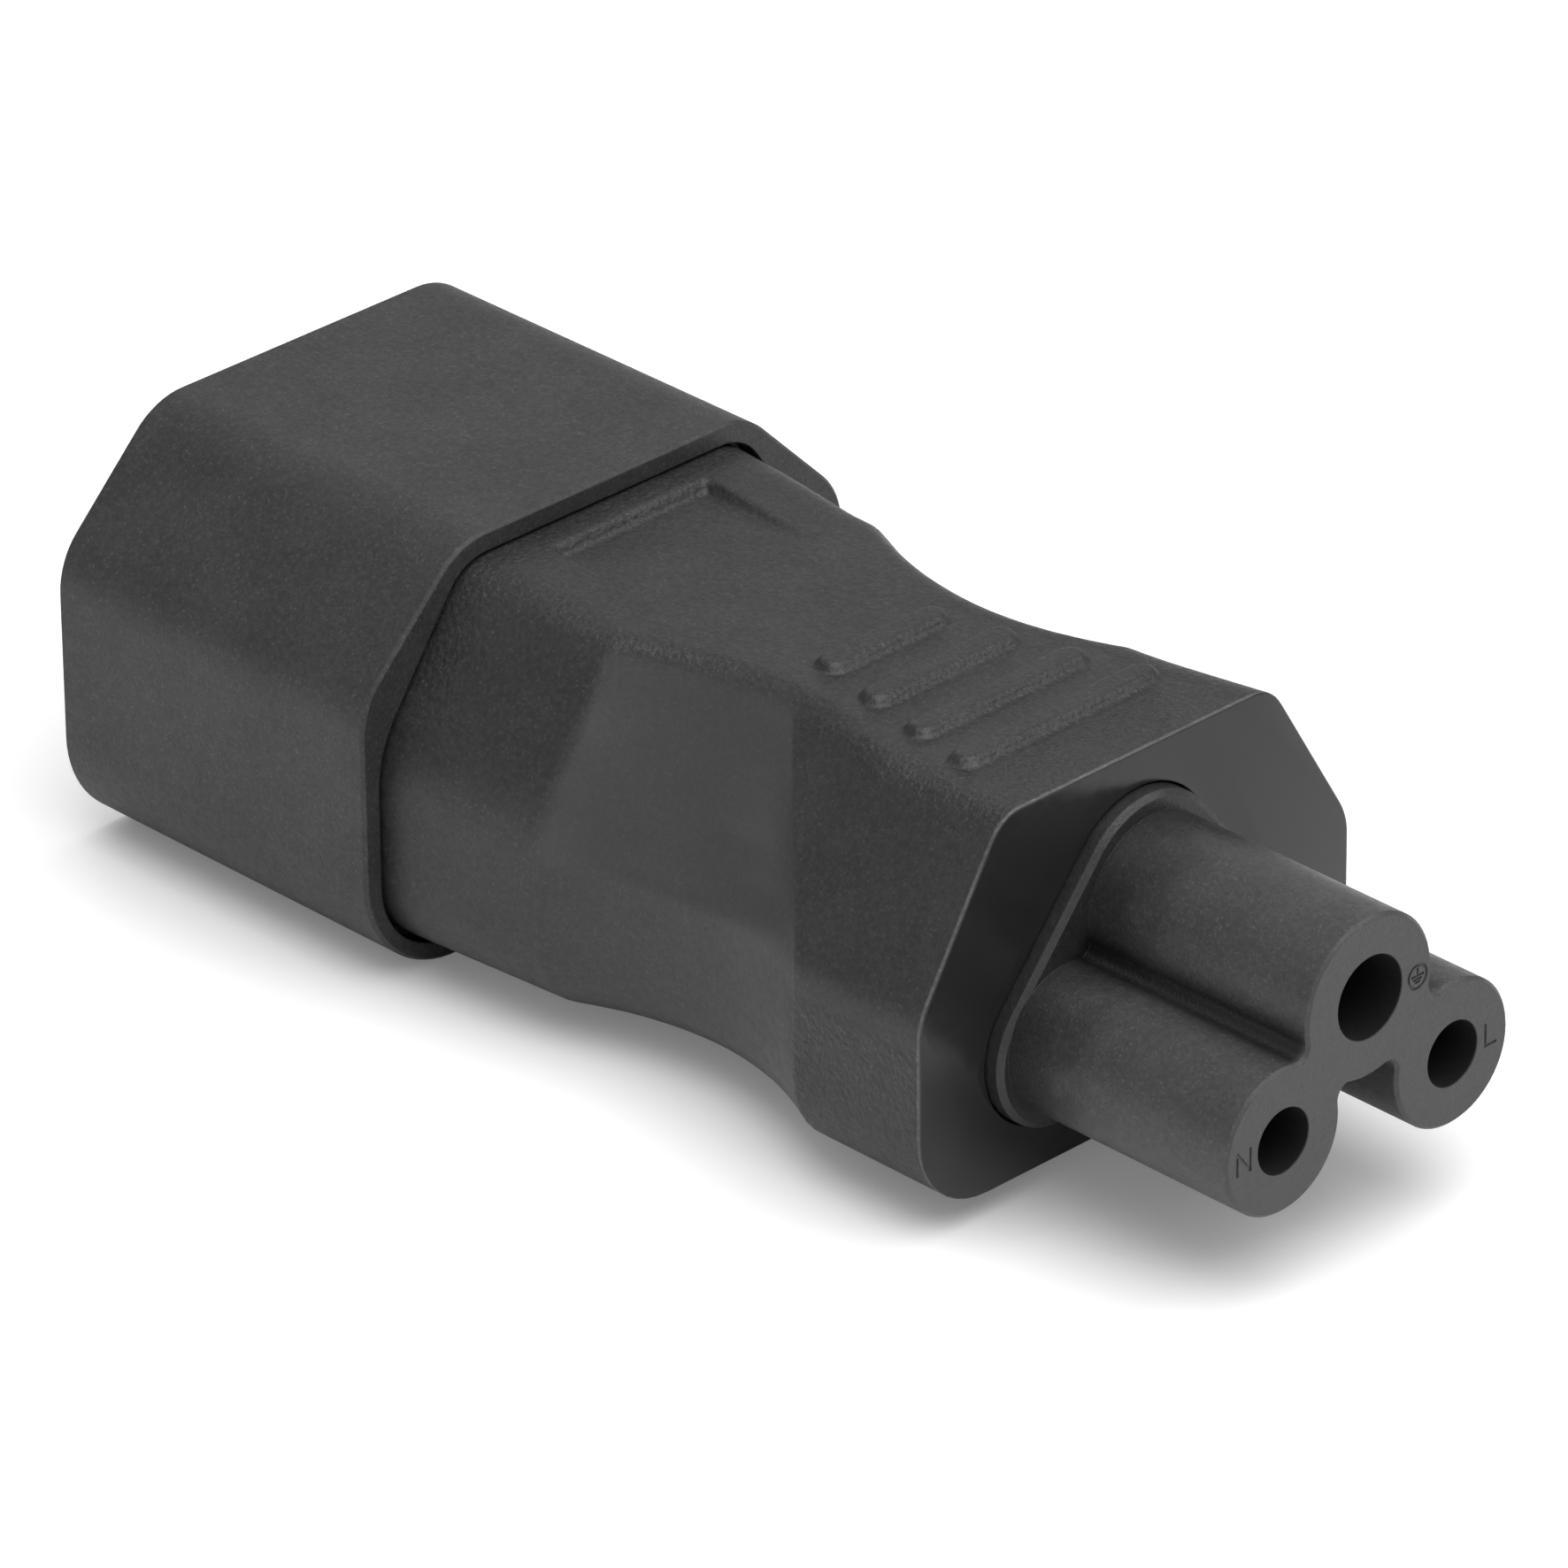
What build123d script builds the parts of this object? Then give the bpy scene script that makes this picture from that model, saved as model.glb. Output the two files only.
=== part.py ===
from build123d import *
import os

# IEC 60320 adapter: C14 male inlet at -X, C5 female outlet at +X, earth side up.
# Millimetres. X runs along the body, Y across, Z up; the origin is on the floor below the middle.

# Lengths along the body
inlet_length = 19.3
grip_length = 31.6
outlet_length = 13.1

# Inlet shroud, outside
inlet_width = 28.4
inlet_height = 19.5
inlet_chamfer = 5.8
inlet_low_radius = 5.2
inlet_corner_radius = 3.7
shroud_edge_bevel = 0.15

# Inlet recess for the mating connector
side_wall = 1.95
top_wall = 1.5
recess_chamfer = 4.9
recess_low_radius = 3.4
recess_corner_radius = 1.0
recess_floor_setback = 2.8
mouth_bevel = 0.35
shroud_floor = 1.6

# Blades of the inlet
blade_thickness = 2.0
blade_width = 4.0
blade_pitch = 14.0
blade_rise = 4.0
live_blade_reach = 13.0
earth_blade_reach = 15.0
blade_tip_bevel = 0.6
blade_shoulder_margin = 0.5
blade_shoulder_thickness = 1.2
blade_tab_length = 4.5
tab_thickness = 1.6
tab_width = 2.2
slot_clearance = 0.05

# Carrier of the blades, and the sleeve of the shroud that it sits in
carrier_half_width = 9.8
carrier_top_half_width = 5.2
carrier_height = 12.0
carrier_fold_drop = 6.6
carrier_thickness = 4.2
carrier_clearance = 0.08
sleeve_wall = 1.0
key_groove_width = 1.2
key_groove_depth = 0.5
key_groove_setback = 1.4

# Grip and front block, outside
rim_side = 1.05
rim_top = 1.1
collar_lean = 5.07
collar_fold_drop = 7.3
collar_edge_radius = 2.5
collar_fold_radius = 6.0
rear_narrowing = 1.4
front_half_width = 12.7
front_top_half_width = 7.9
front_fold_drop = 7.8
heel_half_width = 12.6
heel_top_half_width = 5.8
heel_fold_drop = 8.6
front_edge_radius = 2.0
front_fold_radius = 2.5
fold_band = 4.0
grip_low_radius = 3.85
front_edge_bevel = 0.25
seam_gap = 0.15

# Waist of the grip
waist_setback = 15.4
waist_half_width = 10.4
waist_radius = 16.9
waist_fold_drop = 8.3
crown_waist_setback = 17.0
crown_waist_half_width = 4.8
crown_waist_radius = 7.9

# Saddle in the top of the grip
saddle_depth = 0.55
saddle_start = 3.2
saddle_fall = 4.7
saddle_rise = 9.2
saddle_blend_radius = 30.0

# Finger ribs on the top of the grip
rib_count = 4
rib_width = 1.5
rib_height = 0.4
rib_corner = 0.45
rib_pitch = 3.35
first_rib_setback = 4.8
first_rib_length = 11.6
rib_length_step = 1.5

# Label recess in the top of the grip
label_width = 8.8
label_length = 6.2
label_setback = 1.6
label_corner_radius = 0.3

# Outlet insert, outside
hole_pitch = 10.0
earth_rise = 4.65
hole_line_drop = 2.35
live_lobe_radius = 3.35
earth_lobe_radius = 3.7
lobe_neck_radius = 0.55
lobe_edge_bevel = 0.15
flange_low_radius = 3.75
flange_low_spread = 10.1
flange_low_drop = 0.45
flange_top_radius = 4.1
flange_top_rise = 5.1
flange_proud = 0.8
flange_depth = 1.2
flange_edge_bevel = 0.25
flange_gap = 0.12

# Outlet insert, inside
live_hole_radius = 1.5
earth_hole_radius = 1.9
entry_length = 3.5
barrel_depth = 6.2
barrel_wall = 0.85
barrel_groove_width = 1.2
barrel_groove_depth = 0.4
barrel_groove_setback = 1.3
retainer_thickness = 1.8
retainer_margin = 0.6
retainer_clearance = 0.05

# Contacts of the outlet
contact_wall = 0.4
contact_tip_gap = 0.4
contact_slot_width = 0.5
contact_slot_length = 8.5
contact_floor = 1.0
contact_tab_length = 3.6
contact_clearance = 0.1

# Link wires
conductor_radius = 0.65
insulation_radius = 1.3

# Stations along X
overall_length = inlet_length + grip_length + outlet_length
mouth_x = -overall_length / 2
collar_x = mouth_x + inlet_length
shroud_floor_x = collar_x - recess_floor_setback
shroud_back_x = shroud_floor_x + shroud_floor
sleeve_end_x = shroud_back_x + carrier_thickness
blade_tail_x = sleeve_end_x + blade_tab_length
key_groove_x = sleeve_end_x - key_groove_setback - key_groove_width
front_x = collar_x + grip_length
tip_x = front_x + outlet_length
waist_x = front_x - waist_setback
crown_waist_x = front_x - crown_waist_setback
flange_back_x = front_x - flange_depth
flange_face_x = front_x + flange_proud
insert_back_x = front_x - barrel_depth
barrel_groove_x = flange_back_x - barrel_groove_setback - barrel_groove_width
contact_seat_x = insert_back_x + retainer_thickness
contact_floor_x = contact_seat_x + contact_floor
contact_tail_x = insert_back_x - contact_tab_length

# Heights along Z
axis_z = inlet_height / 2
crown_z = inlet_height - rim_top
base_z = rim_top
blade_line_z = axis_z - blade_rise / 2
hole_line_z = axis_z - hole_line_drop
fold_z = crown_z - waist_fold_drop

# Sizes that follow from the ones above
recess_width = inlet_width - 2 * side_wall
recess_height = inlet_height - 2 * top_wall
recess_depth = inlet_length - recess_floor_setback
collar_half_width = inlet_width / 2 - rim_side
collar_top_half_width = collar_half_width - collar_lean
retainer_reach = contact_wall + contact_clearance + retainer_margin
barrel_reach = retainer_reach + retainer_clearance + barrel_wall

# The three poles: across and up at the inlet, across and up at the outlet
inlet_place = {
    "line": (blade_pitch / 2, blade_line_z),
    "neutral": (-blade_pitch / 2, blade_line_z),
    "earth": (0, blade_line_z + blade_rise),
}
outlet_place = {
    "line": (hole_pitch / 2, hole_line_z),
    "neutral": (-hole_pitch / 2, hole_line_z),
    "earth": (0, hole_line_z + earth_rise),
}
blade_reach = {"line": live_blade_reach, "neutral": live_blade_reach, "earth": earth_blade_reach}
hole_radius = {"line": live_hole_radius, "neutral": live_hole_radius, "earth": earth_hole_radius}
lobe_radius = {"line": live_lobe_radius, "neutral": live_lobe_radius, "earth": earth_lobe_radius}
poles = ("line", "neutral", "earth")


def coffin_outline(x, half_width, top_half_width, base, crown, fold_drop, radii=(0, 0, 0)):
    """Flat-topped outline with its upper corners cut off, and radii for base, folds and crown."""
    with BuildSketch(Plane.YZ.offset(x)) as outline:
        with BuildLine():
            Polyline(
                (-half_width, base),
                (half_width, base),
                (half_width, crown - fold_drop),
                (top_half_width, crown),
                (-top_half_width, crown),
                (-half_width, crown - fold_drop),
                close=True,
            )
        make_face()
        for height, radius in zip((base, crown - fold_drop, crown), radii):
            if radius:
                fillet(outline.vertices().filter_by(lambda v: abs(v.Y - height) < 1e-6), radius)
    return outline.sketch


def shroud_outline(x, width, height, chamfer_size, low_radius, corner_radius):
    """Outline of the inlet, square to X, with the two earth-side corners cut at 45 degrees."""
    return coffin_outline(
        x,
        width / 2,
        width / 2 - chamfer_size,
        axis_z - height / 2,
        axis_z + height / 2,
        chamfer_size,
        (low_radius, corner_radius, corner_radius),
    )


def carrier_outline(x, margin):
    """Outline of the blade carrier, square to X, let out by a margin."""
    return coffin_outline(
        x,
        carrier_half_width + margin,
        carrier_top_half_width + margin,
        axis_z - carrier_height / 2 - margin,
        axis_z + carrier_height / 2 + margin,
        carrier_fold_drop,
    )


def sleeve_outline(x, inset):
    """Outside of the sleeve round the carrier, square to X, drawn in by a depth."""
    return carrier_outline(x, carrier_clearance + sleeve_wall - inset)


def collar_outline(x, margin, radii=(0, 0, 0)):
    """Outline of the grip at its collar, square to X, let out by a margin."""
    return coffin_outline(
        x,
        collar_half_width + margin,
        collar_top_half_width + margin,
        base_z - margin,
        crown_z + margin,
        collar_fold_drop,
        radii,
    )


def lobe_outline(x):
    """Cloverleaf of the outlet, square to X, with small fillets at its necks."""
    with BuildSketch(Plane.YZ.offset(x)) as outline:
        for pole in poles:
            with Locations(outlet_place[pole]):
                Circle(lobe_radius[pole])
        necks = outline.vertices().filter_by(lambda v: abs(v.X) > 1e-6)
        fillet(necks, lobe_neck_radius)
    return outline.sketch


def flange_outline(x, margin):
    """Rounded triangle of the outlet flange, square to X, let out by a margin."""
    with BuildSketch(Plane.YZ.offset(x)) as outline:
        with Locations(
            (-flange_low_spread / 2, hole_line_z - flange_low_drop),
            (flange_low_spread / 2, hole_line_z - flange_low_drop),
        ):
            Circle(flange_low_radius + margin)
        with Locations((0, hole_line_z + flange_top_rise)):
            Circle(flange_top_radius + margin)
        make_hull()
    return outline.sketch


def barrel_outline(x, margin):
    """Many-sided hull round the three contact chambers, square to X, let out by a margin."""
    with BuildSketch(Plane.YZ.offset(x)) as outline:
        for pole in poles:
            with Locations(outlet_place[pole]):
                RegularPolygon(hole_radius[pole] + margin, 8, major_radius=False, rotation=22.5)
        make_hull()
    return outline.sketch


def contact_radius(pole):
    """Outer radius of the spring sleeve, whose bore carries on from the entry hole."""
    return hole_radius[pole] + contact_wall


def crown_height(x):
    """Height of the top of the grip, with its saddle, before the bends are rounded."""
    if x > front_x - saddle_rise:
        return crown_z - saddle_depth * (front_x - x) / saddle_rise
    return crown_z - saddle_depth


def make_ring(outer_outline, inner_outline, length):
    """Ring that a groove takes from one piece and that another piece fills."""
    with BuildPart() as ring:
        extrude(outer_outline, amount=length)
        extrude(inner_outline, amount=length, mode=Mode.SUBTRACT)
    return ring


sleeve_ring = make_ring(
    sleeve_outline(key_groove_x, 0),
    sleeve_outline(key_groove_x, key_groove_depth),
    key_groove_width,
)
barrel_ring = make_ring(
    barrel_outline(barrel_groove_x, barrel_reach),
    barrel_outline(barrel_groove_x, barrel_reach - barrel_groove_depth),
    barrel_groove_width,
)

# Inlet shroud: outer shell, recess, floor with three slots, rear pocket and keyed sleeve
with BuildPart() as inlet_shroud:
    extrude(
        shroud_outline(
            mouth_x, inlet_width, inlet_height, inlet_chamfer, inlet_low_radius, inlet_corner_radius
        ),
        amount=inlet_length,
    )
    chamfer(inlet_shroud.edges().group_by(Axis.X)[0], shroud_edge_bevel)
    chamfer(inlet_shroud.edges().group_by(Axis.X)[-1], shroud_edge_bevel)
    extrude(
        shroud_outline(
            mouth_x, recess_width, recess_height, recess_chamfer, recess_low_radius, recess_corner_radius
        ),
        amount=recess_depth,
        mode=Mode.SUBTRACT,
    )
    mouth_face = inlet_shroud.faces().sort_by(Axis.X)[0]
    chamfer(mouth_face.inner_wires()[0].edges(), mouth_bevel)
    extrude(
        collar_outline(
            shroud_back_x, seam_gap, (grip_low_radius, collar_fold_radius, collar_edge_radius)
        ),
        amount=inlet_length,
        mode=Mode.SUBTRACT,
    )
    extrude(sleeve_outline(shroud_back_x, 0), amount=carrier_thickness)
    extrude(
        carrier_outline(shroud_back_x, carrier_clearance), amount=carrier_thickness, mode=Mode.SUBTRACT
    )
    add(sleeve_ring.part, mode=Mode.SUBTRACT)
    with BuildSketch(Plane.YZ.offset(shroud_floor_x)):
        with Locations(*inlet_place.values()):
            Rectangle(blade_thickness + 2 * slot_clearance, blade_width + 2 * slot_clearance)
    extrude(amount=shroud_floor, mode=Mode.SUBTRACT)
inlet_shroud.part.label = "inlet_shroud"

# Pin carrier: plate with three slots, each with a pocket for the shoulder of its blade
with BuildPart() as pin_carrier:
    extrude(carrier_outline(shroud_back_x, 0), amount=carrier_thickness)
    with BuildSketch(Plane.YZ.offset(shroud_back_x)):
        with Locations(*inlet_place.values()):
            Rectangle(blade_thickness + 2 * slot_clearance, blade_width + 2 * slot_clearance)
    extrude(amount=carrier_thickness, mode=Mode.SUBTRACT)
    shoulder_room = 2 * (blade_shoulder_margin + slot_clearance)
    with BuildSketch(Plane.YZ.offset(shroud_back_x)):
        with Locations(*inlet_place.values()):
            Rectangle(blade_thickness + shoulder_room, blade_width + shoulder_room)
    extrude(amount=blade_shoulder_thickness + slot_clearance, mode=Mode.SUBTRACT)
pin_carrier.part.label = "pin_carrier"


def make_blade(pole):
    """Solid brass blade with a bevelled tip, a shoulder and a flat tab for the wire."""
    across, up = inlet_place[pole]
    tip = shroud_floor_x - blade_reach[pole]
    with BuildPart() as blade:
        with BuildSketch(Plane.YZ.offset(tip)):
            with Locations((across, up)):
                Rectangle(blade_thickness, blade_width)
        extrude(amount=sleeve_end_x - tip)
        chamfer(blade.edges().group_by(Axis.X)[0], blade_tip_bevel)
        with BuildSketch(Plane.YZ.offset(shroud_back_x)):
            with Locations((across, up)):
                Rectangle(
                    blade_thickness + 2 * blade_shoulder_margin, blade_width + 2 * blade_shoulder_margin
                )
        extrude(amount=blade_shoulder_thickness)
        with BuildSketch(Plane.YZ.offset(sleeve_end_x)):
            with Locations((across, up)):
                Rectangle(tab_thickness, tab_width)
        extrude(amount=blade_tab_length)
    return blade


def make_contact(pole):
    """Spring sleeve, slotted from its mouth, with a floor and a flat tab for the wire."""
    across, up = outlet_place[pole]
    mouth = tip_x - entry_length - contact_tip_gap
    with BuildPart() as contact:
        with BuildSketch(Plane.YZ.offset(contact_seat_x)):
            with Locations((across, up)):
                Circle(contact_radius(pole))
        extrude(amount=mouth - contact_seat_x)
        with BuildSketch(Plane.YZ.offset(mouth)):
            with Locations((across, up)):
                Circle(hole_radius[pole])
        extrude(amount=contact_floor_x - mouth, mode=Mode.SUBTRACT)
        slot_span = 2 * contact_radius(pole) + contact_wall
        with BuildSketch(Plane.YZ.offset(mouth)):
            with Locations((across, up)):
                Rectangle(contact_slot_width, slot_span)
                Rectangle(slot_span, contact_slot_width)
        extrude(amount=-contact_slot_length, mode=Mode.SUBTRACT)
        with BuildSketch(Plane.YZ.offset(contact_seat_x)):
            with Locations((across, up)):
                Rectangle(tab_thickness, tab_width)
        extrude(amount=contact_tail_x - contact_seat_x)
    return contact


def make_wire(pole, radius):
    """Round bar that runs straight from the tab of a blade to the tab of its contact."""
    run = Vector(contact_tail_x, *outlet_place[pole]) - Vector(blade_tail_x, *inlet_place[pole])
    with BuildPart() as wire:
        with BuildSketch(Plane.YZ.offset(blade_tail_x)):
            with Locations(inlet_place[pole]):
                RegularPolygon(radius, 8)
        extrude(amount=run.length, dir=run)
    return wire


def make_insulation(pole):
    """Plastic sleeve of the wire, bored for its conductor."""
    with BuildPart() as insulation:
        add(make_wire(pole, insulation_radius).part)
        add(make_wire(pole, conductor_radius).part, mode=Mode.SUBTRACT)
    return insulation


# Outlet insert: flange and cloverleaf in front, barrel behind, a chamber for each contact
with BuildPart() as outlet_insert:
    extrude(flange_outline(flange_back_x, 0), amount=flange_face_x - flange_back_x)
    chamfer(outlet_insert.edges().group_by(Axis.X)[-1], flange_edge_bevel)
    extrude(lobe_outline(flange_face_x), amount=tip_x - flange_face_x)
    chamfer(outlet_insert.edges().group_by(Axis.X)[-1], lobe_edge_bevel)
    extrude(barrel_outline(flange_back_x, barrel_reach), amount=insert_back_x - flange_back_x)
    add(barrel_ring.part, mode=Mode.SUBTRACT)
    for pole in poles:
        with BuildSketch(Plane.YZ.offset(tip_x)):
            with Locations(outlet_place[pole]):
                Circle(hole_radius[pole])
        extrude(amount=-entry_length, mode=Mode.SUBTRACT)
        with BuildSketch(Plane.YZ.offset(tip_x - entry_length)):
            with Locations(outlet_place[pole]):
                Circle(contact_radius(pole) + contact_clearance)
        extrude(amount=insert_back_x - tip_x + entry_length, mode=Mode.SUBTRACT)
    extrude(
        barrel_outline(contact_seat_x, retainer_reach + retainer_clearance),
        amount=-retainer_thickness,
        mode=Mode.SUBTRACT,
    )
outlet_insert.part.label = "outlet_insert"

# Contact retainer: plate that closes the back of the insert round the three tabs
with BuildPart() as contact_retainer:
    extrude(barrel_outline(contact_seat_x, retainer_reach), amount=-retainer_thickness)
    with BuildSketch(Plane.YZ.offset(contact_seat_x)):
        with Locations(*outlet_place.values()):
            Rectangle(tab_thickness + 2 * retainer_clearance, tab_width + 2 * retainer_clearance)
    extrude(amount=-retainer_thickness, mode=Mode.SUBTRACT)
contact_retainer.part.label = "contact_retainer"


def lengthwise_edges(block):
    """Edges of a block that run along it, not across."""
    return block.edges().filter_by(lambda edge: edge.bounding_box().size.X > edge.bounding_box().size.Y)


def saddle_profile():
    """Side view of what is cut from the top of the grip."""
    with BuildSketch(Plane.XZ) as profile:
        with BuildLine():
            FilletPolyline(
                (collar_x + saddle_start, crown_z),
                (collar_x + saddle_start + saddle_fall, crown_z - saddle_depth),
                (front_x - saddle_rise, crown_z - saddle_depth),
                (front_x, crown_z),
                radius=saddle_blend_radius,
            )
            Line((front_x, crown_z), (collar_x + saddle_start, crown_z))
        make_face()
    return profile.sketch


def make_block(rear_outline, front_outline, fold_radius, edge_radius):
    """Straight half of the grip between two outlines, with its saddle and rounded upper edges."""
    with BuildPart() as block:
        loft(sections=[rear_outline, front_outline], ruled=True)
        extrude(saddle_profile(), amount=collar_half_width, both=True, mode=Mode.SUBTRACT)
        folds = lengthwise_edges(block).filter_by(lambda edge: abs(edge.center().Z - axis_z) < fold_band)
        fillet(folds, fold_radius)
        crowns = lengthwise_edges(block).filter_by(lambda edge: edge.center().Z > crown_z - 2 * saddle_depth)
        fillet(crowns, edge_radius)
    return block


def make_scoop(side):
    """Cutter of one side of the waist: upright up to the fold, then a cone towards the crown."""
    with BuildPart() as scoop:
        with BuildSketch(Plane.XY.offset(fold_z)) as low:
            with Locations((waist_x, side * (waist_half_width + waist_radius))):
                Circle(waist_radius)
        extrude(amount=base_z - fold_z)
        with BuildSketch(Plane.XY.offset(crown_z)) as high:
            with Locations((crown_waist_x, side * (crown_waist_half_width + crown_waist_radius))):
                Circle(crown_waist_radius)
        loft(sections=[low.sketch, high.sketch], ruled=True)
    return scoop


# Rear half of the grip, from the inlet to the waist
rear_half = make_block(
    collar_outline(shroud_back_x, 0),
    coffin_outline(
        waist_x,
        collar_half_width - rear_narrowing,
        collar_top_half_width - rear_narrowing,
        base_z,
        crown_z,
        collar_fold_drop,
    ),
    collar_fold_radius,
    collar_edge_radius,
)

# Front half of the grip, from the waist to the outlet
front_half = make_block(
    coffin_outline(waist_x, heel_half_width, heel_top_half_width, base_z, crown_z, heel_fold_drop),
    coffin_outline(front_x, front_half_width, front_top_half_width, base_z, crown_z, front_fold_drop),
    front_fold_radius,
    front_edge_radius,
)

# Grip body: waisted overmould that locks on the sleeve, the wires and the back of the insert
with BuildPart() as grip_body:
    add(rear_half.part)
    add(front_half.part)
    for side in (-1, 1):
        add(make_scoop(side).part, mode=Mode.SUBTRACT)
    base_edges = grip_body.faces().sort_by(Axis.Z)[0].edges()
    fillet(base_edges.filter_by(lambda edge: abs(edge.center().Y) > heel_top_half_width), grip_low_radius)
    chamfer(grip_body.edges().group_by(Axis.X)[-1], front_edge_bevel)
    for step in range(rib_count):
        x = front_x - first_rib_setback - step * rib_pitch
        length = first_rib_length - step * rib_length_step
        with BuildSketch(Plane.XY.offset(crown_height(x) + rib_height)) as rib:
            with Locations((x, 0)):
                Rectangle(rib_width, length)
            chamfer(rib.vertices(), rib_corner)
        extrude(amount=-2 * rib_height)
    with BuildSketch(Plane.XY.offset(crown_z - saddle_depth)):
        with Locations((collar_x + label_setback + label_length / 2, 0)):
            RectangleRounded(label_length, label_width, label_corner_radius)
    extrude(amount=2 * saddle_depth, mode=Mode.SUBTRACT)
    extrude(sleeve_outline(shroud_back_x, 0), amount=carrier_thickness, mode=Mode.SUBTRACT)
    add(sleeve_ring.part)
    extrude(flange_outline(flange_back_x, flange_gap), amount=flange_depth, mode=Mode.SUBTRACT)
    barrel_length = barrel_depth - flange_depth
    extrude(barrel_outline(insert_back_x, barrel_reach), amount=barrel_length, mode=Mode.SUBTRACT)
    add(barrel_ring.part)
    with BuildSketch(Plane.YZ.offset(sleeve_end_x)):
        with Locations(*inlet_place.values()):
            Rectangle(tab_thickness, tab_width)
    extrude(amount=blade_tab_length, mode=Mode.SUBTRACT)
    with BuildSketch(Plane.YZ.offset(insert_back_x)):
        with Locations(*outlet_place.values()):
            Rectangle(tab_thickness, tab_width)
    extrude(amount=-contact_tab_length, mode=Mode.SUBTRACT)
    for pole in poles:
        add(make_wire(pole, insulation_radius).part, mode=Mode.SUBTRACT)
grip_body.part.label = "grip_body"

blades = {pole: make_blade(pole) for pole in poles}
contacts = {pole: make_contact(pole) for pole in poles}
conductors = {pole: make_wire(pole, conductor_radius) for pole in poles}
insulations = {pole: make_insulation(pole) for pole in poles}

os.makedirs("parts", exist_ok=True)
for piece in (inlet_shroud, pin_carrier, outlet_insert, contact_retainer, grip_body):
    export_step(piece.part, "parts/" + piece.part.label + ".step")
for kind, pieces in (
    ("blade", blades),
    ("contact", contacts),
    ("conductor", conductors),
    ("insulation", insulations),
):
    for pole, piece in pieces.items():
        piece.part.label = pole + "_" + kind
        export_step(piece.part, "parts/" + piece.part.label + ".step")
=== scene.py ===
from math import atan2, cos, pi, radians, sin

import bmesh
import bpy
from mathutils import Matrix, Vector


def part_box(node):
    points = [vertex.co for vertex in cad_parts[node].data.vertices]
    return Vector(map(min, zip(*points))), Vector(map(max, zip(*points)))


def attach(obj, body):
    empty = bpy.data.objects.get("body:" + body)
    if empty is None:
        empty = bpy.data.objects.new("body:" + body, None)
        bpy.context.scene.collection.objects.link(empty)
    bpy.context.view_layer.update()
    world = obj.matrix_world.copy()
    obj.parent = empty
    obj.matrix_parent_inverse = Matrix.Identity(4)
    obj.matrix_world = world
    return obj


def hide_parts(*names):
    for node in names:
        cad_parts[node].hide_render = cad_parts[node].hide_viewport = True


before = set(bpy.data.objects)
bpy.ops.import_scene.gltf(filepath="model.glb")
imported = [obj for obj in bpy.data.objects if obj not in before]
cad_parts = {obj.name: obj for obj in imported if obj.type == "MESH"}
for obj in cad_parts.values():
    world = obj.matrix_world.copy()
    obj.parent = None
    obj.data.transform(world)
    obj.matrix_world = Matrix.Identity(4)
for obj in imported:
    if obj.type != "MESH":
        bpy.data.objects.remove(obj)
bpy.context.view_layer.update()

# Inlet shroud: one black nylon moulding, open towards the mains cord, keyed into the grip at its back.
# Its tool was spark eroded, so the skin is finely matte, with a faint cloudy mottle and soft edges.

shroud_colour = (0.030, 0.030, 0.0305)
shroud_roughness = 0.5
shroud_grain = (0.00012, 0.00002)
shroud_edge_softness = 0.0001


def add_node(tree, kind, **settings):
    """New node with its settings; a setting whose name is a socket's goes to that socket."""
    node = tree.nodes.new(kind)
    for name, value in settings.items():
        if hasattr(node, name):
            setattr(node, name, value)
        else:
            node.inputs[name.replace("_", " ").title()].default_value = value
    return node


def noise(tree, place, size, detail=3.0, distortion=0.0):
    """Noise whose blotches are about as wide as size, in metres."""
    node = add_node(tree, "ShaderNodeTexNoise", Scale=1.0 / size, Detail=detail, Distortion=distortion)
    tree.links.new(place, node.inputs["Vector"])
    return node.outputs["Fac"]


def spread(tree, value, low, high, new_low=0.0, new_high=1.0):
    """Smooth step of a value from one range to another."""
    node = add_node(tree, "ShaderNodeMapRange", interpolation_type="SMOOTHSTEP")
    tree.links.new(value, node.inputs["Value"])
    for name, number in (
        ("From Min", low),
        ("From Max", high),
        ("To Min", new_low),
        ("To Max", new_high),
    ):
        node.inputs[name].default_value = number
    return node.outputs["Result"]


def tint(tree, value, dark, light):
    """Colour between two, by a value."""
    node = add_node(tree, "ShaderNodeMix", data_type="RGBA")
    tree.links.new(value, node.inputs["Factor"])
    node.inputs[6].default_value = (*dark, 1)
    node.inputs[7].default_value = (*light, 1)
    return node.outputs[2]


def parts(tree, place):
    """The three coordinates of a place."""
    axes = add_node(tree, "ShaderNodeSeparateXYZ")
    tree.links.new(place, axes.inputs["Vector"])
    return axes.outputs["X"], axes.outputs["Y"], axes.outputs["Z"]


def new_finish(name):
    """Material with its tree, its shader and the place of each point in metres."""
    finish = bpy.data.materials.new(name)
    finish.use_nodes = True
    tree = finish.node_tree
    shader = tree.nodes["Principled BSDF"]
    place = add_node(tree, "ShaderNodeTexCoord").outputs["Object"]
    return finish, tree, shader, place


def relief(tree, shader, height, depth, softness):
    """Bump of a given depth over edges that are softened to a radius."""
    soft = add_node(tree, "ShaderNodeBevel", samples=4, Radius=softness)
    bump = add_node(tree, "ShaderNodeBump", Strength=1.0, Distance=depth)
    tree.links.new(height, bump.inputs["Height"])
    tree.links.new(soft.outputs["Normal"], bump.inputs["Normal"])
    tree.links.new(bump.outputs["Normal"], shader.inputs["Normal"])


def combine(tree, operation, *values):
    """Result of one sum, product or the like on values."""
    node = add_node(tree, "ShaderNodeMath", operation=operation)
    for value, socket in zip(values, node.inputs):
        if isinstance(value, (int, float)):
            socket.default_value = value
        else:
            tree.links.new(value, socket)
    return node.outputs["Value"]


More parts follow.
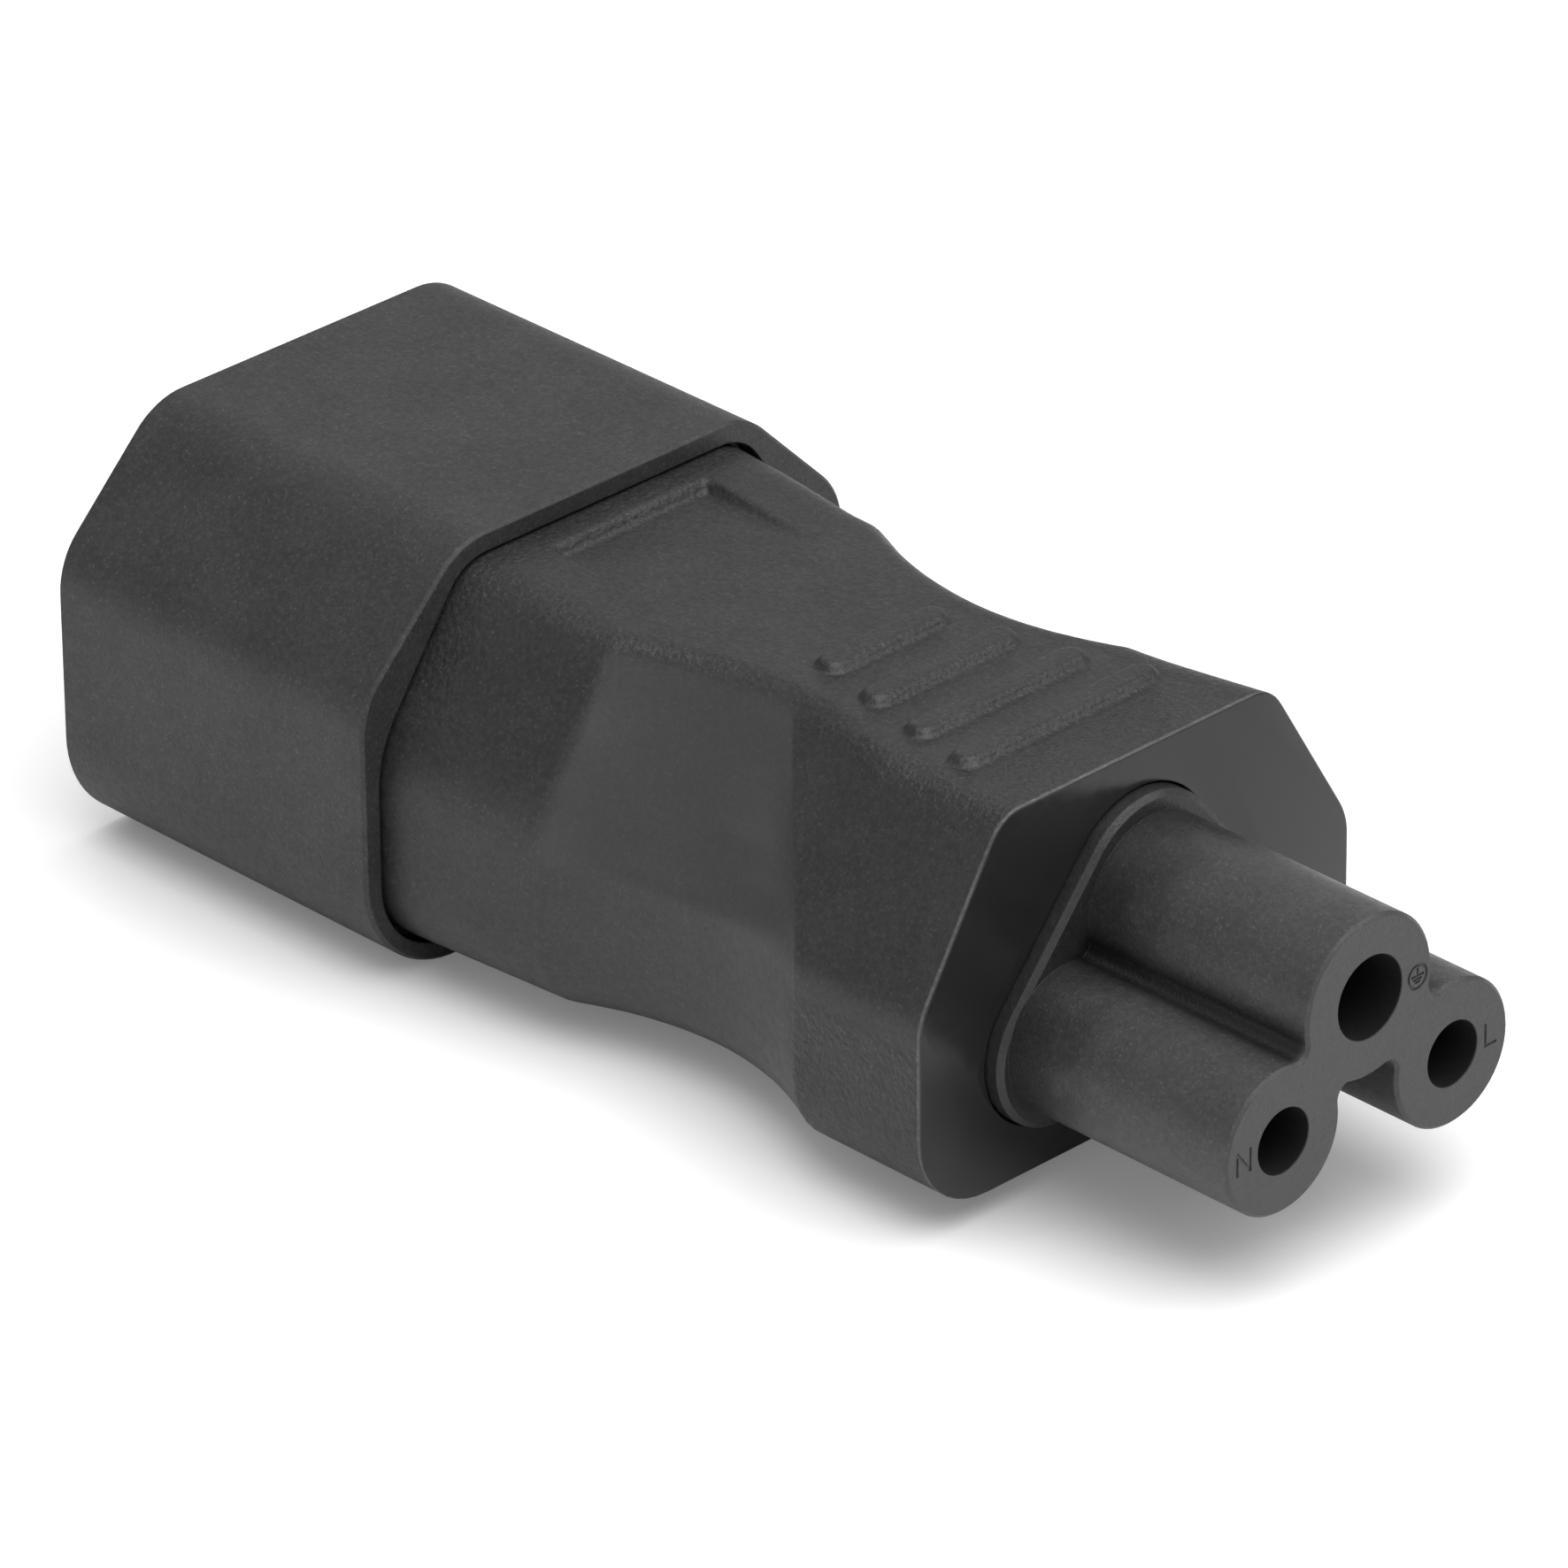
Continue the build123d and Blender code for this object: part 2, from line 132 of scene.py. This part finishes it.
def blend(tree, share, tone, gain):
    """Tone made brighter or darker by a gain, as far as a share goes."""
    node = add_node(tree, "ShaderNodeMix", data_type="RGBA", blend_type="MULTIPLY")
    tree.links.new(share, node.inputs["Factor"])
    tree.links.new(tone, node.inputs[6])
    node.inputs[7].default_value = (gain, gain, gain, 1)
    return node.outputs[2]


def shades(colour, share):
    """Darker and lighter tone of a colour, a share apart on each side."""
    return [c * (1 - share) for c in colour], [c * (1 + share) for c in colour]


cloud_size = 0.0035
mottle_size = 0.00024
speck_size = 0.00012
rubbed_size = 0.0004


def moulded_plastic(
    name, colour, roughness, grain, softness, grained=None, toned=(), gloss=None, plain=None
):
    """Moulded plastic: cloudy tone, fine mottle, pale specks and eroded grain.

    grained and plain give the share of grain and of even tone at a place, each pair in toned
    a share and the gain on the tone there, and gloss a share and the change of roughness."""
    finish, tree, shader, place = new_finish(name)
    grain_size, grain_height = grain
    cloud = spread(tree, noise(tree, place, cloud_size, 4.0), 0.35, 0.65)
    mottle = spread(tree, noise(tree, place, mottle_size, 3.0), 0.3, 0.7)
    mixed = combine(tree, "MULTIPLY_ADD", mottle, 0.7, combine(tree, "MULTIPLY", cloud, 0.3))
    specks = spread(tree, noise(tree, place, speck_size, 1.0), 0.62, 0.74)
    if plain:
        busy = combine(tree, "SUBTRACT", 1.0, plain(tree, place))
        mixed = combine(tree, "MULTIPLY_ADD", combine(tree, "SUBTRACT", mixed, 0.5), busy, 0.5)
        specks = combine(tree, "MULTIPLY", specks, busy)
    tone = blend(tree, specks, tint(tree, mixed, *shades(colour, 0.32)), 1.9)
    for where, gain in toned:
        tone = blend(tree, where(tree, place), tone, gain)
    tree.links.new(tone, shader.inputs["Base Color"])
    patches = noise(tree, place, rubbed_size)
    rubbed = spread(tree, patches, 0.3, 0.7, roughness - 0.04, roughness + 0.04)
    if gloss:
        where, change = gloss
        rubbed = combine(tree, "ADD", rubbed, combine(tree, "MULTIPLY", where(tree, place), change))
    tree.links.new(rubbed, shader.inputs["Roughness"])
    height = noise(tree, place, grain_size, 2.0)
    if grained:
        height = combine(tree, "MULTIPLY", height, grained(tree, place))
    relief(tree, shader, height, grain_height, softness)
    return finish


def give(node, finish):
    """Put one finish on a whole CAD node."""
    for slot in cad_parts[node].material_slots:
        slot.material = finish


give(
    "inlet_shroud",
    moulded_plastic(
        "inlet_nylon",
        shroud_colour,
        shroud_roughness,
        shroud_grain,
        shroud_edge_softness,
    ),
)

# Pin carrier and contact retainer: two small black plates that hold the blades and the contacts.
# Both are closed in by the grip, so they have the plain satin skin of an unseen moulding.

carrier_colour = (0.016, 0.016, 0.016)
carrier_plastic = moulded_plastic("carrier_nylon", carrier_colour, 0.45, (0.0001, 0.000006), 0.0001)
for node in ("pin_carrier", "contact_retainer"):
    give(node, carrier_plastic)

# Blades: three flat brass pins, nickel plated, with a bevelled nose and a flat tab behind.
# The bar was drawn lengthwise, so fine draw lines run along it under the plating.

nickel_colour = (0.62, 0.6, 0.56)
draw_line_width = 0.00006
draw_line_length = 0.004


def drawn_metal(name, colour, roughness):
    """Metal with fine lines along X and faint patches of tarnish."""
    finish, tree, shader, place = new_finish(name)
    shader.inputs["Metallic"].default_value = 1.0
    stretch = add_node(tree, "ShaderNodeMapping")
    stretch.inputs["Scale"].default_value = (draw_line_width / draw_line_length, 1, 1)
    tree.links.new(place, stretch.inputs["Vector"])
    lines = noise(tree, stretch.outputs["Vector"], draw_line_width, 2.0)
    dark, light = shades(colour, 0.12)
    patches = spread(tree, noise(tree, place, 0.002, 3.0), 0.35, 0.7)
    tree.links.new(tint(tree, patches, dark, light), shader.inputs["Base Color"])
    rough = spread(tree, lines, 0.3, 0.7, roughness - 0.07, roughness + 0.07)
    tree.links.new(rough, shader.inputs["Roughness"])
    relief(tree, shader, lines, 0.000003, 0.00008)
    return finish


nickel = drawn_metal("nickel_plate", nickel_colour, 0.28)
for pole in ("line", "neutral", "earth"):
    give(pole + "_blade", nickel)

# Contacts: rolled from bare brass strip, with four slots, so that the fingers spring on a pin.
# They sit deep in the outlet's bores, and only a glint of them can be seen through the holes.

strip_brass = drawn_metal("strip_brass", (0.6, 0.42, 0.16), 0.35)
for pole in ("line", "neutral", "earth"):
    give(pole + "_contact", strip_brass)

# Link wires: stranded copper in soft coloured sleeves, welded at both ends to flat tabs in the grip.
# Nothing of them shows from outside; brown is line, blue is neutral and green is earth.

sleeve_colours = {
    "line": (0.16, 0.06, 0.02),
    "neutral": (0.03, 0.12, 0.4),
    "earth": (0.08, 0.3, 0.06),
}
copper = drawn_metal("copper_strand", (0.75, 0.34, 0.18), 0.4)
for pole, colour in sleeve_colours.items():
    give(pole + "_conductor", copper)
    sleeve = moulded_plastic(pole + "_sleeve", colour, 0.5, (0.0003, 0.000008), 0.0001)
    give(pole + "_insulation", sleeve)

# Outlet insert: satin black cloverleaf with three entry holes, on a flange that the grip wraps.
# Its face carries three small sunk marks: the letters of the two live poles and the earth sign.

mark_depth = 0.00007
mark_stroke = 0.00013
letter_height = 0.00098
letter_width = 0.00076
letter_n_place = (-0.0073, 0.00735)
letter_l_place = (0.00735, 0.00745)
earth_sign_place = (0.0028, 0.0119)
earth_sign_radius = 0.00053
earth_sign_bars = ((0.08, 0.62), (-0.22, 0.4), (-0.48, 0.2))
entry_holes = ((0.005, 0.0074, 0.0015), (-0.005, 0.0074, 0.0015), (0, 0.01205, 0.0019))
cleft_across = 0.00323
cleft_up = 0.01024
insert_edge_softness = 0.00006
outlet_colour = (0.048, 0.048, 0.0485)
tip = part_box("outlet_insert")[1].x


def stroke(mesh, start, end, width):
    """Small bar sunk in the outlet's face between two points across and up."""
    start, end = Vector(start), Vector(end)
    run = end - start
    turn = Matrix.Rotation(atan2(run.y, run.x), 4, "X")
    middle = (start + end) / 2
    size = Matrix.Diagonal((2 * mark_depth, run.length + width, width, 1))
    place = Matrix.Translation((tip, middle.x, middle.y))
    bmesh.ops.create_cube(mesh, size=1.0, matrix=place @ turn @ size)


def letter_points(place, corners):
    """Points of a letter from corners given in shares of its width and height."""
    across, up = place
    return [(across + letter_width * (x - 0.5), up + letter_height * (z - 0.5)) for x, z in corners]


def make_marks():
    """Cutter of the marks: bars of the letters, and the ring and bars of the earth sign."""
    mesh = bmesh.new()
    letter_n = letter_points(letter_n_place, [(0, 0), (0, 1), (1, 0), (1, 1)])
    letter_l = letter_points(letter_l_place, [(0, 1), (0, 0), (0.8, 0)])
    across, up = earth_sign_place
    circle = [
        (across + earth_sign_radius * cos(pi * k / 16), up + earth_sign_radius * sin(pi * k / 16))
        for k in range(33)
    ]
    for points in (letter_n, letter_l, circle):
        for start, end in zip(points, points[1:]):
            stroke(mesh, start, end, mark_stroke)
    thin_stroke = mark_stroke * 0.8
    for rise, share in earth_sign_bars:
        reach = earth_sign_radius * share
        level = up + earth_sign_radius * rise
        stroke(mesh, (across - reach, level), (across + reach, level), thin_stroke)
    stem = [(across, up + earth_sign_radius * share) for share in (0.7, 0.1)]
    stroke(mesh, *stem, thin_stroke)
    return mesh


def merged_copy(node):
    """Copy of a CAD node with its loose triangles joined."""
    mesh = bmesh.new()
    mesh.from_mesh(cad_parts[node].data)
    bmesh.ops.remove_doubles(mesh, verts=mesh.verts, dist=1e-7)
    return mesh


def show(mesh, name):
    """Object from a bmesh."""
    data = bpy.data.meshes.new(name)
    mesh.to_mesh(data)
    mesh.free()
    piece = bpy.data.objects.new(name, data)
    bpy.context.scene.collection.objects.link(piece)
    return piece


def cut(mesh, cutter, name, overlapping):
    """Object from a bmesh after another bmesh is taken from it."""
    piece, tool = show(mesh, name), show(cutter, name + "_tool")
    taking = piece.modifiers.new("cut", "BOOLEAN")
    taking.operation = "DIFFERENCE"
    taking.solver = "EXACT"
    taking.use_self = overlapping
    taking.object = tool
    sight = bpy.context.evaluated_depsgraph_get()
    shape = bpy.data.meshes.new_from_object(piece.evaluated_get(sight))
    piece.modifiers.clear()
    piece.data = shape
    bpy.data.objects.remove(tool)
    return piece


def dress(piece, finish, sharp_angle, node):
    """Smooth shading but for sharp edges, one finish, a place under the root body, and the CAD node
    that the piece stands for hidden.
    """
    mesh = bmesh.new()
    mesh.from_mesh(piece.data)
    for face in mesh.faces:
        face.smooth = True
    for edge in mesh.edges:
        edge.smooth = edge.calc_face_angle(0) < radians(sharp_angle)
    mesh.to_mesh(piece.data)
    mesh.free()
    piece.data.materials.clear()
    piece.data.materials.append(finish)
    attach(piece, "root")
    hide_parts(node)


def off_axis(tree, place, across, up, low, high):
    """Share that grows to 1 as a place comes from high to low distance off a line along X."""
    flat = add_node(tree, "ShaderNodeVectorMath", operation="MULTIPLY")
    flat.inputs[1].default_value = (0, 1, 1)
    tree.links.new(place, flat.inputs[0])
    gap = add_node(tree, "ShaderNodeVectorMath", operation="DISTANCE")
    gap.inputs[1].default_value = (0, across, up)
    tree.links.new(flat.outputs["Vector"], gap.inputs[0])
    return spread(tree, gap.outputs["Value"], high, low)


def root_painted_shade(tree, place):
    """Share of painted shade on the lobes, darker towards the flange, with a ragged end."""
    along = parts(tree, place)[0]
    ragged = combine(tree, "MULTIPLY_ADD", noise(tree, place, 0.0016, 5.0), 0.005, along)
    inward = spread(tree, along, 0.03195, 0.0319)
    return combine(tree, "MULTIPLY", inward, spread(tree, ragged, 0.0275, 0.0232, 0.0, 1.0))


def cleft_painted_shade(tree, place):
    """Share of painted shade in the two clefts between the lobes."""
    total = 0.0
    for side in (-1, 1):
        near = off_axis(tree, place, side * cleft_across, cleft_up, 0.0006, 0.0019)
        total = combine(tree, "MAXIMUM", near, total)
    return combine(tree, "MULTIPLY", total, spread(tree, parts(tree, place)[0], 0.0319, 0.0315))


def bore_painted_shade(tree, place):
    """Share inside the three entry holes, where the colour is painted black as shade."""
    total = 0.0
    for across, up, radius in entry_holes:
        near = off_axis(tree, place, across, up, radius + 0.00002, radius + 0.00005)
        total = combine(tree, "MAXIMUM", near, total)
    return combine(tree, "MULTIPLY", total, spread(tree, parts(tree, place)[0], 0.03197, 0.0319))


def tip_places(tree, place):
    """Share of calmer skin: most on the flat tip, some along the lobes."""
    return spread(tree, parts(tree, place)[0], 0.0319, 0.03197, 0.35, 0.75)


outlet_plastic = moulded_plastic(
    "outlet_satin",
    outlet_colour,
    0.4,
    (0.00012, 0.00002),
    insert_edge_softness,
    # Painted shade: the clefts between the lobes are darker.
    # Painted shade: the inside of the entry holes is black.
    # Painted shade: the lobes are darker towards the flange.
    toned=((root_painted_shade, 0.45), (cleft_painted_shade, 0.05), (bore_painted_shade, 0.0)),
    gloss=(bore_painted_shade, 0.5),
    plain=tip_places,
)
outlet = cut(merged_copy("outlet_insert"), make_marks(), "outlet_insert_marked", True)
dress(outlet, outlet_plastic, 25, "outlet_insert")

# Grip body: soft black overmould between the two ends, scooped for the fingers, with four ribs on top.
# It is shot round the inlet's sleeve, the wires and the outlet's barrel. Its tool was eroded in places,
# so the skin is grained beside the ribs and low on the front block, and smooth in the scoops.

grip_colour = (0.024, 0.024, 0.0245)
grip_grain = (0.00025, 0.00014)
grip_rear = -0.0139
grip_front = 0.0189
grip_waist = 0.0035
grip_base = 0.0011
grip_low_radius = 0.00385
grip_front_bevel = 0.00018
grip_crown = 0.0184
saddle_crown = 0.01785
ring_steps = (4, 10, 8, 10, 22, 8, 56)
station_count = 290
scoop_left = ((0.0011, -0.0041), (0.0114, -0.0038), (0.0142, -0.00365), (0.01785, -0.0045))
scoop_depths = (
    (0.0011, 0.0020),
    (0.0090, 0.0020),
    (0.0095, 0.00225),
    (0.0101, 0.00275),
    (0.0106, 0.00295),
    (0.0120, 0.0029),
    (0.0140, 0.00205),
    (0.0160, 0.0011),
    (0.0170, 0.0007),
    (0.0184, 0.00045),
)
rib_places = ((0.0141, 0.0116), (0.01075, 0.0101), (0.0074, 0.0086), (0.00405, 0.0071))
rib_half_width = 0.00075
rib_height = 0.00042
label_low = (-0.0111, -0.0044)
label_high = (-0.0040, 0.0044)
flange_lobes = ((-0.00505, 0.00695, 0.00387), (0.00505, 0.00695, 0.00387), (0, 0.0125, 0.00422))
grained_regions = (
    (0.001, 0.007, 0.0166, 0.0175, 0.35),
    (0.0152, 0.0162, 0.0166, 0.0175, 1.0),
    (-0.02, -0.019, 0.0171, 0.0176, 0.4),
    (0.0105, 0.0118, 0.0095, 0.0085, 0.8),
    (-0.0085, -0.0115, 0.0115, 0.0145, 0.5),
)


def between(table, place):
    """Value at a place in a table of places and values."""
    for (low, first), (high, last) in zip(table, table[1:]):
        if place <= high:
            share = max(0.0, (place - low) / (high - low))
            return first + (last - first) * share
    return table[-1][1]


def ease(value, low, high):
    """Smooth step from 0 to 1 as a value goes from low to high."""
    share = min(1.0, max(0.0, (value - low) / (high - low)))
    return share * share * (3 - 2 * share)


def least(one, other, blend):
    """Smaller of two lengths, rounded over a blend where they cross."""
    share = min(1.0, max(0.0, 0.5 + 0.5 * (other - one) / blend))
    return other + (one - other) * share - blend * share * (1 - share)


def rear_reach(x, z):
    """Half width of the straight block behind the scoops."""
    share = (x - grip_rear) / (grip_waist - grip_rear)
    side = 0.01315 - 0.0014 * share
    return least(side, 0.00808 - 0.00155 * share + 0.695 * (grip_crown - z), 0.0013)


def front_reach(x, z):
    """Half width of the block in front of the scoops, whose crown flares out of the waist."""
    crown = min(0.0079 - 0.148 * (grip_front - x), 0.0048 + 36.3 * max(0.0, x - 0.004) ** 2)
    share = (grip_crown - z) / 0.0079
    return least(0.01265, crown + share * (0.01265 - crown), 0.0005)


def grip_reach(x, z):
    """Half width of the grip at a station and a height."""
    left = between(scoop_left, z)
    right = front_reach(0.0085, z) - 0.0011
    right = front_reach(right, z) - 0.0011
    if x <= left:
        return rear_reach(x, z)
    if x >= right:
        return front_reach(x, z)
    share = (x - left) / (right - left)
    chord = rear_reach(left, z) * (1 - share) + front_reach(right, z) * share
    lift = 0.0011 * ease(x, 0.003, 0.012)
    return chord - between(scoop_depths, z - lift) * 4 * share * (1 - share)


def grip_top(x, y):
    """Height of the grip's top, with its saddle, its ribs and the label recess."""
    height = saddle_crown
    if x < -0.0048:
        height += 0.00055 * (1 - ease(x, -0.0105, -0.0038))
    if x > 0.0097:
        height += 0.00055 * ((x - 0.0097) / 0.0092) ** 1.15
    for place, length in rib_places:
        beyond = max(0.0, abs(y) - length / 2 + rib_half_width)
        height += rib_height * (1 - ease((beyond**2 + (x - place) ** 2) ** 0.5, 0.0006, 0.00082))
    inside = min(x - label_low[0], y - label_low[1], label_high[0] - x, label_high[1] - y)
    return height + (saddle_crown - height) * ease(inside, -0.0001, 0.00012)


def half_section(x):
    """Points across and up from the middle of the base round to the middle of the top."""
    corner = saddle_crown if -0.0048 < x < 0.0097 else grip_top(x, 0.0068)
    edge = 0.0006 + 0.0007 * (1 - ease(x, -0.006, -0.003)) + 0.0005 * ease(x, 0.009, 0.014)
    foot = grip_reach(x, grip_base + grip_low_radius)
    bands = [
        [(foot - grip_low_radius) * k / ring_steps[0] for k in range(ring_steps[0])],
        [pi / 2 * k / ring_steps[1] for k in range(ring_steps[1])],
    ]
    points = [(across, grip_base) for across in bands[0]]
    for turn in bands[1]:
        across = foot - grip_low_radius * (1 - sin(turn))
        points.append((across, grip_base + grip_low_radius * (1 - cos(turn))))
    marks = (grip_base + grip_low_radius, 0.0085, 0.0112, corner - edge)
    for low, high, steps in zip(marks, marks[1:], ring_steps[2:5]):
        for k in range(steps):
            z = low + (high - low) * k / steps
            points.append((grip_reach(x, z), z))
    wall = Vector((grip_reach(x, corner - edge), corner - edge))
    bend = Vector((grip_reach(x, corner), corner))
    flat = bend - Vector((edge, 0))
    for k in range(ring_steps[5]):
        share = k / ring_steps[5]
        curve = wall * (1 - share) ** 2 + bend * 2 * share * (1 - share) + flat * share**2
        points.append(tuple(curve))
    for k in range(ring_steps[6] + 1):
        across = flat.x * (1 - k / ring_steps[6])
        fade = ease(k, 0, 4)
        points.append((across, corner + (grip_top(x, across) - corner) * fade))
    return points


def make_grip():
    """Skin of the grip: a grid wrapped round the sections, closed and softened."""
    half = sum(ring_steps)
    mesh = bmesh.new()
    bmesh.ops.create_grid(mesh, x_segments=station_count, y_segments=2 * half, size=1.0)
    sections = []
    for k in range(station_count + 1):
        sections.append(half_section(grip_rear + (grip_front - grip_rear) * k / station_count))
    for vert in mesh.verts:
        station = round((vert.co.x + 1) / 2 * station_count)
        place = round((vert.co.y + 1) * half)
        across, up = sections[station][min(place, 2 * half - place)]
        along = grip_rear + (grip_front - grip_rear) * station / station_count
        vert.co = (along, across if place <= half else -across, up)
    bmesh.ops.remove_doubles(mesh, verts=mesh.verts, dist=1e-7)
    inner = [vert for vert in mesh.verts if not vert.is_boundary]
    for _ in range(3):
        bmesh.ops.smooth_vert(
            mesh, verts=inner, factor=0.5, use_axis_x=True, use_axis_y=True, use_axis_z=True
        )
    rims = [edge for edge in mesh.edges if edge.is_boundary]
    caps = bmesh.ops.holes_fill(mesh, edges=rims, sides=0)["faces"]
    front = max(caps, key=lambda face: face.calc_center_median().x)
    bmesh.ops.bevel(
        mesh,
        geom=list(front.edges),
        offset=grip_front_bevel,
        offset_type="OFFSET",
        affect="EDGES",
        segments=3,
        profile=0.5,
        material=-1,
        clamp_overlap=True,
    )
    bmesh.ops.recalc_face_normals(mesh, faces=mesh.faces)
    return mesh


def flange_cutter():
    """Prism of the pocket that the outlet's flange sits in."""
    mesh = bmesh.new()
    for across, up, radius in flange_lobes:
        for along in (grip_front - 0.0012, grip_front + 0.001):
            turn = Matrix.Translation((along, across, up)) @ Matrix.Rotation(pi / 2, 4, "Y")
            bmesh.ops.create_circle(mesh, segments=72, radius=radius, matrix=turn)
    hull = bmesh.ops.convex_hull(mesh, input=mesh.verts)
    inside = {item for item in hull["geom_interior"] if isinstance(item, bmesh.types.BMVert)}
    bmesh.ops.delete(mesh, geom=list(inside), context="VERTS")
    bmesh.ops.recalc_face_normals(mesh, faces=mesh.faces)
    return mesh


def grained_places(tree, place):
    """Share of grain: most at the front and beside the ribs, less by the collar, none in front."""
    along, across, up = parts(tree, place)
    total = 0.07
    for near, far, low, high, most in grained_regions:
        rise = spread(tree, up, low, high, 0.0, most)
        both = combine(tree, "MULTIPLY", spread(tree, along, near, far), rise)
        total = combine(tree, "MAXIMUM", both, total)
    crown = spread(tree, up, 0.0166, 0.0175)
    beside = combine(tree, "MULTIPLY", spread(tree, along, 0.003, 0.006), crown)
    outer = spread(tree, combine(tree, "ABSOLUTE", across), 0.0055, 0.0062)
    beside = combine(tree, "MULTIPLY", beside, outer)
    total = combine(tree, "MAXIMUM", beside, total)
    return combine(tree, "MULTIPLY", total, spread(tree, along, 0.01888, 0.0186))


def scoop_smooth_and_painted_light(tree, place):
    """Share of the scoops, smooth skin with painted light that makes it paler: all of the upper scoops,
    half of the lower ones.
    """
    along, across, up = parts(tree, place)
    reach = combine(tree, "ABSOLUTE", across)
    rear = spread(tree, along, -0.0046, -0.0034)
    front = spread(tree, combine(tree, "SUBTRACT", reach, along), 0.0010, 0.0013)
    below = spread(tree, up, 0.0178, 0.0168)
    low = spread(tree, up, 0.0085, 0.0096, 0.5, 1.0)
    sides = combine(tree, "MULTIPLY", rear, front)
    return combine(tree, "MULTIPLY", combine(tree, "MULTIPLY", sides, below), low)


def front_places(tree, place):
    """Share on the flat front, which the tool left bright and smooth."""
    return spread(tree, parts(tree, place)[0], 0.01884, 0.01889)


def rim_painted_highlight(tree, place):
    """Share on the narrow bevel round the front, where a painted highlight makes it paler."""
    along = parts(tree, place)[0]
    rear = spread(tree, along, 0.01870, 0.01874)
    return combine(tree, "MULTIPLY", rear, spread(tree, along, 0.01889, 0.01885))


def calm_places(tree, place):
    """Share of even tone: all of the flat front, and most of the scoops."""
    scoops = combine(tree, "MULTIPLY", scoop_smooth_and_painted_light(tree, place), 0.72)
    return combine(tree, "MAXIMUM", scoops, front_places(tree, place))


grip_skin = moulded_plastic(
    "grip_pvc",
    grip_colour,
    0.45,
    grip_grain,
    0.00006,
    grained=grained_places,
    # Painted highlight: the bevel round the front is paler.
    # Painted light: the scoops are paler.
    toned=((scoop_smooth_and_painted_light, 1.9), (front_places, 0.7), (rim_painted_highlight, 3.4)),
    gloss=(front_places, -0.25),
    plain=calm_places,
)
grip = cut(make_grip(), flange_cutter(), "grip_skin", False)
dress(grip, grip_skin, 35, "grip_body")

# Floor, lights and camera: a white table under a broad soft light and three weak ones, seen from
# the front and above. The table shows white to the camera, with a close shadow under the adapter,
# deepened there by painted shadow.

floor_colour = 0.92
floor_size = 6.0
floor_lift = 0.25
floor_painted_shadow = 0.42


def light_table():
    """White floor that shows white to the camera and still takes the shadow, with painted shadow added
    close to the adapter.
    """
    mesh = bmesh.new()
    bmesh.ops.create_grid(mesh, x_segments=1, y_segments=1, size=floor_size / 2)
    data = bpy.data.meshes.new("table")
    mesh.to_mesh(data)
    mesh.free()
    table = bpy.data.objects.new("table", data)
    bpy.context.scene.collection.objects.link(table)
    finish = bpy.data.materials.new("table_white")
    finish.use_nodes = True
    tree = finish.node_tree
    shader = tree.nodes["Principled BSDF"]
    shader.inputs["Roughness"].default_value = 1.0
    shader.inputs["Specular IOR Level"].default_value = 0.0
    # Painted shadow: for the camera, the floor's colour is darkened where occlusion finds the adapter
    # close.
    closed = add_node(tree, "ShaderNodeAmbientOcclusion", samples=12, Distance=0.012)
    seen = add_node(tree, "ShaderNodeLightPath")
    near = spread(tree, closed.outputs["AO"], 0.0, 0.8, floor_painted_shadow, 0.0)
    shade = combine(tree, "MULTIPLY", near, seen.outputs["Is Camera Ray"])
    left = combine(tree, "SUBTRACT", 1.0, shade)
    tree.links.new(combine(tree, "MULTIPLY", left, floor_colour), shader.inputs["Base Color"])
    lift = combine(tree, "MULTIPLY", seen.outputs["Is Camera Ray"], floor_lift)
    tree.links.new(combine(tree, "MULTIPLY", left, lift), shader.inputs["Emission Strength"])
    shader.inputs["Emission Color"].default_value = (1, 1, 1, 1)
    data.materials.append(finish)


light_table()

middle = Vector((0.002, 0, 0.0074))


def soft_light(name, azimuth, elevation, distance, size, watts):
    """Square area lamp that looks at the object from an azimuth and an elevation."""
    lamp = bpy.data.lights.new(name, "AREA")
    lamp.shape = "SQUARE"
    lamp.size = size
    lamp.energy = watts
    holder = bpy.data.objects.new(name, lamp)
    turn = Matrix.Rotation(radians(azimuth), 3, "Z") @ Matrix.Rotation(radians(90 - elevation), 3, "X")
    holder.rotation_euler = turn.to_euler()
    holder.location = middle + turn @ Vector((0, 0, distance))
    bpy.context.scene.collection.objects.link(holder)


soft_light("overhead_light", 80, 72, 0.7, 0.8, 5.2)
soft_light("back_light", 225.9, 30, 0.8, 0.6, 0.3)
soft_light("edge_light", 143, 38, 0.8, 0.16, 0.55)
soft_light("front_light", 57, 19, 0.8, 0.12, 0.12)

world = bpy.data.worlds.new("studio")
world.use_nodes = True
backdrop = world.node_tree.nodes["Background"]
sight = world.node_tree.nodes.new("ShaderNodeLightPath")
level = world.node_tree.nodes.new("ShaderNodeMapRange")
world.node_tree.links.new(sight.outputs["Is Camera Ray"], level.inputs["Value"])
level.inputs["To Min"].default_value = 0.38
level.inputs["To Max"].default_value = 1.0
world.node_tree.links.new(level.outputs["Result"], backdrop.inputs["Strength"])
backdrop.inputs["Color"].default_value = (1, 1, 1, 1)
bpy.context.scene.world = world

camera_azimuth = radians(45.915)
camera_elevation = radians(28.55)
camera_roll = radians(-0.543)
camera_offset = Vector((-0.002745, 0.002609, 0.5142645))

camera_data = bpy.data.cameras.new("camera")
camera_data.sensor_width = 36
camera_data.lens = 280.28
camera_data.clip_end = 10
camera = bpy.data.objects.new("camera", camera_data)
aim = (
    Matrix.Rotation(camera_azimuth, 3, "Z")
    @ Matrix.Rotation(pi / 2 - camera_elevation, 3, "X")
    @ Matrix.Rotation(camera_roll, 3, "Z")
)
camera.rotation_euler = aim.to_euler()
camera.location = middle + aim @ camera_offset
bpy.context.scene.collection.objects.link(camera)
bpy.context.scene.camera = camera
bpy.context.scene.view_settings.view_transform = "Standard"
